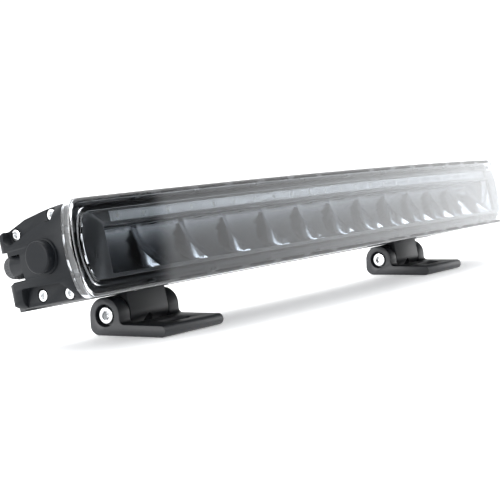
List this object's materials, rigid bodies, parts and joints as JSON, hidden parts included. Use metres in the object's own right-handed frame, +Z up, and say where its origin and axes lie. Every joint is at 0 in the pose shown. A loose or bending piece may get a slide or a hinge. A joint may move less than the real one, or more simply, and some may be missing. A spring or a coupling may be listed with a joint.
{
  "type": "led light bar",
  "caption": "Curved LED light bar in a clear lens with half-bowl reflectors and a position-light strip above them, held on two clevis feet that slide along the bar and tilt.",
  "frame": {"origin": "centre of the bounding box in X and Y, on the plane under the feet", "axes": "+Z up from the mounting surface, -Y the way the lens faces, +X to the right along the bar as seen from in front of it"},
  "size_m": [0.507, 0.0717, 0.0746],
  "materials": {
    "lens": "clear moulded polycarbonate",
    "black_rubber": "black silicone rubber",
    "black_housing": "satin black powder coat on aluminium",
    "black_bezel": "black moulded plastic",
    "reflector_chrome": "vacuum-metallised plastic",
    "circuit_board": "white solder mask on aluminium-core board",
    "led_emitter": "yellow phosphor LED",
    "black_board": "black solder mask on fibreglass board",
    "thermal_pad": "grey thermal pad",
    "light_guide": "ribbed clear acrylic",
    "coil_ferrite": "moulded ferrite coil",
    "capacitor_can": "aluminium can",
    "chip_plastic": "epoxy package",
    "connector_plastic": "natural nylon",
    "wire_red": "red insulation",
    "wire_black": "black insulation",
    "gland_plastic": "black nylon",
    "black_cast": "satin black powder coat on die-cast aluminium",
    "zinc_screw": "bright zinc-plated steel",
    "plug_plastic": "black nylon",
    "steel_zinc": "plain zinc-plated steel",
    "black_foot": "fine-textured black powder coat on aluminium",
    "washer_plastic": "black acetal"
  },
  "bodies": {
    "light_bar": {"lens": "lens", "lens_gasket": "black_rubber", "housing": "black_housing", "bezel": "black_bezel", "reflector": "reflector_chrome", "led_mask": "black_bezel", "led_board": "circuit_board", "leds": "led_emitter", "thermal_pad": "thermal_pad", "light_guide": "light_guide", "position_leds": "led_emitter", "position_board": "black_board", "driver_board": "circuit_board", "driver_coils": "coil_ferrite", "driver_capacitors": "capacitor_can", "driver_chip": "chip_plastic", "wire_connector": "connector_plastic", "wire_red": "wire_red", "wire_black": "wire_black", "gland_body": "gland_plastic", "gland_seal": "black_rubber", "gland_nut": "gland_plastic", "breather": "gland_plastic", "end_cap_left": "black_cast", "cap_gasket_left": "black_rubber", "cap_screws_left": "zinc_screw", "side_plug_left": "plug_plastic", "end_cap_right": "black_cast", "cap_gasket_right": "black_rubber", "cap_screws_right": "zinc_screw", "side_plug_right": "plug_plastic"},
    "slider_left": {"slide_nut_left": "steel_zinc", "mounting_block_left": "black_foot", "clamp_screw_left": "zinc_screw", "pivot_screws_left": "zinc_screw", "washers_left": "washer_plastic"},
    "foot_left": {"foot_left": "black_foot"},
    "slider_right": {"slide_nut_right": "steel_zinc", "mounting_block_right": "black_foot", "clamp_screw_right": "zinc_screw", "pivot_screws_right": "zinc_screw", "washers_right": "washer_plastic"},
    "foot_right": {"foot_right": "black_foot"}
  },
  "joints": [
    {"name": "slide_left", "type": "hinge", "parent": "light_bar", "child": "slider_left", "pos_m": [0, 2.21557, -0.38421], "axis": [0, 0.1908, 0.9816], "range_deg": [-0.9, 0.9]},
    {"name": "tilt_left", "type": "hinge", "parent": "slider_left", "child": "foot_left", "pos_m": [-0.15306, 0.02142, 0.01], "axis": [1, 0, 0], "range_deg": [-20, 60]},
    {"name": "slide_right", "type": "hinge", "parent": "light_bar", "child": "slider_right", "pos_m": [0, 2.21557, -0.38421], "axis": [0, 0.1908, 0.9816], "range_deg": [-0.9, 0.9]},
    {"name": "tilt_right", "type": "hinge", "parent": "slider_right", "child": "foot_right", "pos_m": [0.15306, 0.02142, 0.01], "axis": [1, 0, 0], "range_deg": [-20, 60]}
  ]
}
